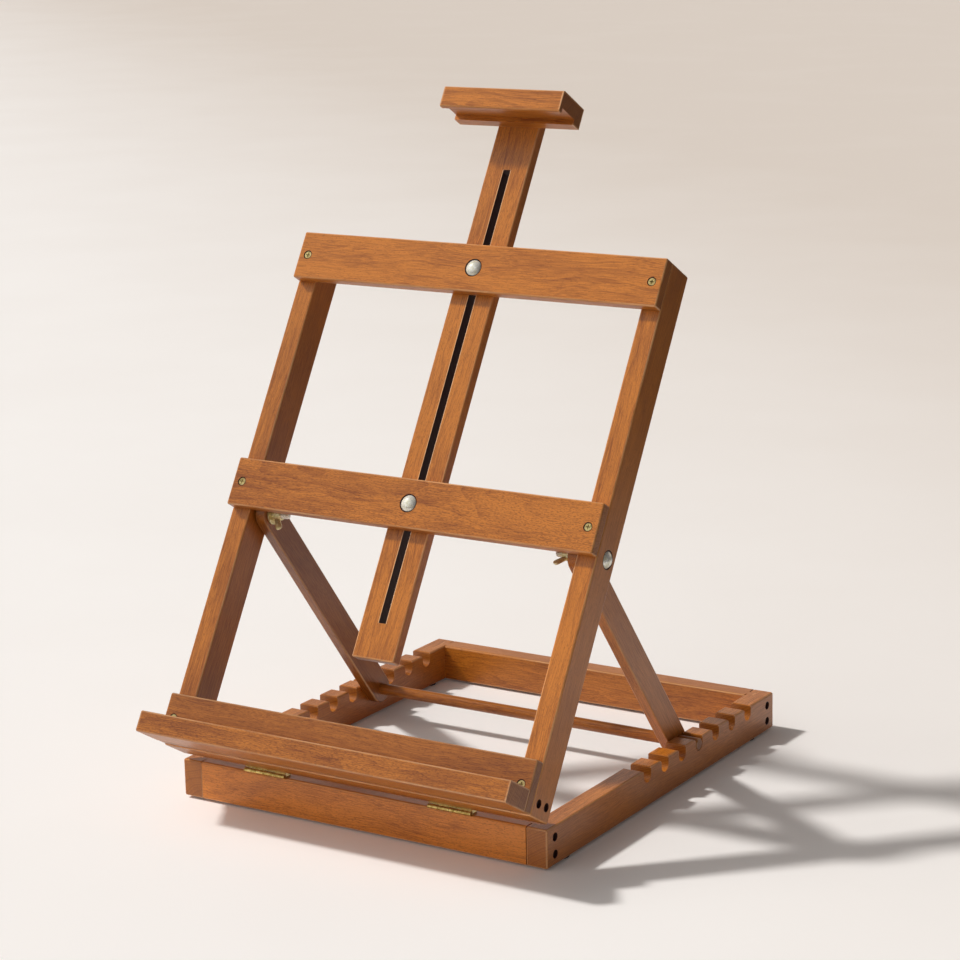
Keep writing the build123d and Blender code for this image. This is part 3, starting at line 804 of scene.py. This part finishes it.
def turned_to(direction, side):
    """A rotation that takes Z to a direction, and X as near to a side as it can."""
    side = side - direction * (side @ direction)
    side = side / np.linalg.norm(side)
    return np.stack([side, np.cross(direction, side), direction], -1)


def seat_of(node, outward):
    """Where a bolt's head is seated, its rise below its node's far end, and the node's whole length."""
    axes = turned_to(outward, slope).T
    centre, half_sizes = extent(node, axes)
    to_seat = np.array([0, 0, half_sizes[2] - head_rise * millimetre])
    return axes.T @ (centre + to_seat), half_sizes[2] * 2


for node, outward in bolt_directions.items():
    seat, whole = seat_of(node, outward)
    length = whole / millimetre - head_rise
    place = (turned_to(outward, slope), seat)
    piece = new_piece(
        f"threaded_{node}", [bolt_skin(length)], place, bolt_plating_and_painted_reflection, "tilt_frame", node
    )
    print(piece.name, round(length, 1), "mm,", len(piece.data.polygons), "faces")

# %% [markdown]
# A wing nut is cast in one piece: a tapered hub with a tapped bore, and two ears that rise from it
# and lean outwards, thick at the root and round at the tip. The hub is a profile turned about
# the bore and closed on itself. An ear is a chain of ovals from hub to tip, each with its own
# height and thickness, which close at the tip as half a circle does.

# %% Wing nuts
hub_base = 5.8
hub_top = 4.7
hub_height = 8.0
bore_radius = 3.05
bore_thread = 0.25
bore_chamfer = 0.5
thread_margin = 0.4
foot_round = 0.5
shoulder_round = 0.8
ear_start = np.array([3.2, 3.4])
ear_tip = np.array([13.6, 10.4])
ear_heights = (2.2, 3.4)
ear_thickness = (1.5, 1.0)


def hub_skin(around=56):
    """A closed profile turned about the bore: foot, tapered side, rounded shoulder and threaded bore."""
    angle = np.linspace(0, 2 * np.pi, around, endpoint=False)
    bend = np.linspace(0, np.pi / 2, 6)
    foot = [(hub_base + foot_round * (np.sin(a) - 1), foot_round * (1 - np.cos(a))) for a in bend]
    shoulder = [
        (hub_top + shoulder_round * (np.cos(a) - 1), hub_height + shoulder_round * (np.sin(a) - 1))
        for a in bend
    ]
    mouth = bore_radius + bore_chamfer
    rows = [(mouth, 0.0), *foot, *shoulder, (mouth, hub_height)]
    steps = int(thread_steps * hub_height / thread_pitch)
    for up in np.linspace(hub_height - thread_margin, thread_margin, steps):
        winding = (up / thread_pitch - angle / (2 * np.pi)) % 1.0
        rows.append((bore_radius + bore_thread * np.abs(2 * winding - 1), up))
    return ring_skin(turned_rows(rows, angle))


def ear_skin(side, steps=26, around=28):
    """An ear in the XZ plane: ovals along the line from hub to tip, closed like half a circle."""
    share = np.linspace(0, 1, steps)
    run = ear_tip - ear_start
    run_length = np.linalg.norm(run)
    along = run / run_length
    upright = np.array([-along[1], along[0]])
    height = ear_heights[0] + (ear_heights[1] - ear_heights[0]) * share**1.2
    tip_start = 1 - ear_heights[1] / run_length
    into_tip = np.clip((share - tip_start) / (1 - tip_start), 0, 0.999)
    height = height * np.sqrt(1 - into_tip**2)
    thickness = ear_thickness[0] + (ear_thickness[1] - ear_thickness[0]) * share
    thickness = thickness * (1 - into_tip**4) ** 0.5
    angle = np.linspace(0, 2 * np.pi, around, endpoint=False)
    centre = ear_start + share[:, None] * run
    rise = height[:, None] * np.sign(np.cos(angle)) * np.abs(np.cos(angle)) ** 0.8
    outward = centre[:, None, :] + rise[..., None] * upright
    swell = thickness[:, None] * np.sign(np.sin(angle)) * np.abs(np.sin(angle)) ** 0.7
    return skin(np.stack([side * outward[..., 0], swell, outward[..., 1]], -1))


def nut_place(node, joint):
    """A nut's place: bore on its joint's axis, foot at its node's near end, and turned by its wings."""
    axis = np.array(joint["axis"])
    points = points_of(node)
    on_axis = np.array(joint["pos_m"])
    heights = (points - on_axis) @ axis
    level = on_axis + axis * heights.min()
    flat = points - level
    flat = flat - np.outer(flat @ axis, axis)
    wing = flat[np.linalg.norm(flat, axis=1).argmax()]
    return turned_to(axis, wing), level


for node in nut_parts:
    body = node.replace("_wing_nut", "_nut")
    place = nut_place(node, joints[f"{body}_turn"])
    skins = [hub_skin(), ear_skin(1), ear_skin(-1)]
    piece = new_piece(f"cast_{node}", skins, place, nut_plating, body, node)
    print(piece.name, len(piece.data.polygons), "faces on", body)

# %% [markdown]
# The easel stands on a wide pale sweep of paper. From the camera's height only the paper shows,
# so one flat floor is enough. Its colour is painted from near white around the easel to a warmer
# beige far behind and to the right, as painted fall-off of the light. The real sweep is only a few
# metres wide and the room round it is dark, so for rays that leave the easel the floor is bright
# near it and dim farther off. The camera sees it pale all over, with the easel's shadow on it.

# %% Floor
floor_half = 30.0
far_direction = (0.65, 0.76, 0)
far_off = (-0.4, 2.0)
lit_reach = (0.55, 1.2)
tooth_rate = 3.0
tooth_depth = 0.04
paper_near = paint(248, 245, 243)
paper_far_with_painted_falloff = paint(219, 209, 200)
paper_dim = paint(64, 61, 59)
camera_glow = 0.03
corners = [(floor_half * x, floor_half * y, 0) for x, y in ((-1, -1), (1, -1), (1, 1), (-1, 1))]
mesh = bpy.data.meshes.new("paper_floor")
mesh.from_pydata(corners, [], [(0, 1, 2, 3)])
floor = bpy.data.objects.new("paper_floor", mesh)
bpy.context.scene.collection.objects.link(floor)
floor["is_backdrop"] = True

material, tree, shader = new_material("paper")
point = object_point(tree)
# painted fall-off: lighter around the easel, darker far behind and to the right
painted_falloff = fade(tree, dot(tree, point, far_direction), *far_off)
clouding = cloud(tree, scaled(tree, point, tooth_rate), 3.0).outputs["Fac"]
tooth = fade(tree, clouding, 0.2, 0.8, -tooth_depth, tooth_depth)
shown = mix(tree, calc(tree, "ADD", painted_falloff, tooth), paper_near, paper_far_with_painted_falloff)
away = add_node(tree, "VectorMath", (point,), operation="LENGTH").outputs[1]
lit = mix(tree, fade(tree, away, *lit_reach), paper_near, paper_dim)
to_camera = add_node(tree, "LightPath").outputs["Is Camera Ray"]
plug(tree, shader.inputs["Base Color"], mix(tree, to_camera, lit, shown))
plug(tree, shader.inputs["Emission Color"], shown)
plug(tree, shader.inputs["Emission Strength"], calc(tree, "MULTIPLY", to_camera, camera_glow))
shader.inputs["Roughness"].default_value = 0.9
shader.inputs["Specular IOR Level"].default_value = 0.2
seen_from_below = add_node(tree, "NewGeometry").outputs["Backfacing"]
clear = add_node(tree, "BsdfTransparent").outputs[0]
sheet = add_node(tree, "MixShader", (seen_from_below, shader.outputs[0], clear)).outputs[0]
tree.links.new(sheet, tree.nodes["Material Output"].inputs["Surface"])
mesh.materials.append(material)
print("paper", 2 * floor_half, "metres wide")

# %% [markdown]
# A studio head stands high on the left: its shadows start crisp and soften with distance. A wide
# panel in front fills the faces that look forward. Far lamps do the same, and light everything
# evenly, but a lamp shows in metal as one hard spot. So the lamps are hidden from reflections, and
# the room around holds what metal should show: a bright round head on the left and the broad soft
# panel in front. The rest is dark overhead, and pale low down behind, where the sweep rises.

# %% Light
def far_lamp(name, direction, strength, spread, tint):
    """A lamp so far away that its light is even. A white face square to it shows its strength."""
    lamp = bpy.data.lights.new(name, "SUN")
    lamp.energy = strength * math.pi
    lamp.angle = math.radians(spread)
    lamp.color = tint
    made = bpy.data.objects.new(name, lamp)
    made.rotation_mode = "QUATERNION"
    made.rotation_quaternion = Vector(direction).to_track_quat("Z", "Y")
    bpy.context.scene.collection.objects.link(made)
    made.visible_glossy = False
    return made


key_direction = (-0.64, -0.19, 0.745)
panel_direction = (-0.5, -0.83, 0.25)
sweep_direction = (-0.45, 0.89, 0)
room_dark = paint(72, 70, 70)
sweep_pale = paint(238, 226, 218)
panel_glow = paint(255, 252, 248, 0.66)
head_glow = paint(255, 252, 246, 2.2)
backdrop = paint(226, 214, 204)
key = far_lamp("key_lamp", key_direction, 0.8, 5, (1.0, 0.985, 0.96))
fill = far_lamp("front_panel", panel_direction, 0.12, 50, (1.0, 0.985, 0.97))

world = bpy.data.worlds.new("studio")
bpy.context.scene.world = world
world.use_nodes = True
tree = world.node_tree
direction = add_node(tree, "TexCoord").outputs["Generated"]
low = fade(tree, dot(tree, direction, (0, 0, 1)), 0.6, 0.25)
behind = fade(tree, dot(tree, direction, sweep_direction), 0.2, 0.8)
room = mix(tree, calc(tree, "MULTIPLY", low, behind), room_dark, sweep_pale)
panel = fade(tree, dot(tree, direction, panel_direction), 0.2, 0.9)
room = mix(tree, panel, room, panel_glow)
head = fade(tree, dot(tree, direction, key_direction), 0.955, 0.99)
room = mix(tree, head, room, head_glow)
shown = mix(tree, add_node(tree, "LightPath").outputs["Is Camera Ray"], room, backdrop)
plug(tree, tree.nodes["Background"].inputs["Color"], shown)
tree.nodes["Background"].inputs["Strength"].default_value = 1.0
print("lamps", key.name, "and", fill.name)

# %% [markdown]
# The camera is the photograph's own, found by matching the easel's straight edges: a long lens
# from the right, a little above, and turned by about a degree. Its axes are built from the two
# angles and the roll, and become the columns of its matrix.

# %% Camera
azimuth = math.radians(32.304)
elevation = math.radians(13.481)
roll = math.radians(-1.268)
frame_pixels = 960
focal_pixels = 2778.95
sensor_width = 36.0
camera_place = Vector((1.2051, -1.8791, 0.7894))

back = Vector((
    math.sin(azimuth) * math.cos(elevation),
    -math.cos(azimuth) * math.cos(elevation),
    math.sin(elevation),
))
level_right = (-back).cross(Vector((0, 0, 1))).normalized()
level_up = level_right.cross(-back)
right = math.cos(roll) * level_right + math.sin(roll) * level_up
up = -math.sin(roll) * level_right + math.cos(roll) * level_up
lens = bpy.data.cameras.new("camera")
lens.sensor_width = sensor_width
lens.lens = focal_pixels * sensor_width / frame_pixels
lens.clip_end = 100.0
camera = bpy.data.objects.new("camera", lens)
turn = Matrix((right, up, back)).transposed()
camera.matrix_world = Matrix.Translation(camera_place) @ turn.to_4x4()
bpy.context.scene.collection.objects.link(camera)
bpy.context.scene.camera = camera
bpy.context.scene.view_settings.view_transform = "Standard"
print("lens", round(lens.lens, 1), "mm")

# %% [markdown]
# The dressed easel has to be the size that the model says. Both boxes are kept side by side.

# %% Measure and finish
dressed_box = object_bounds()
growth = (dressed_box[1] - dressed_box[0]) - (solid_box[1] - solid_box[0])
print("grew by", [round(float(v), 5) for v in growth])
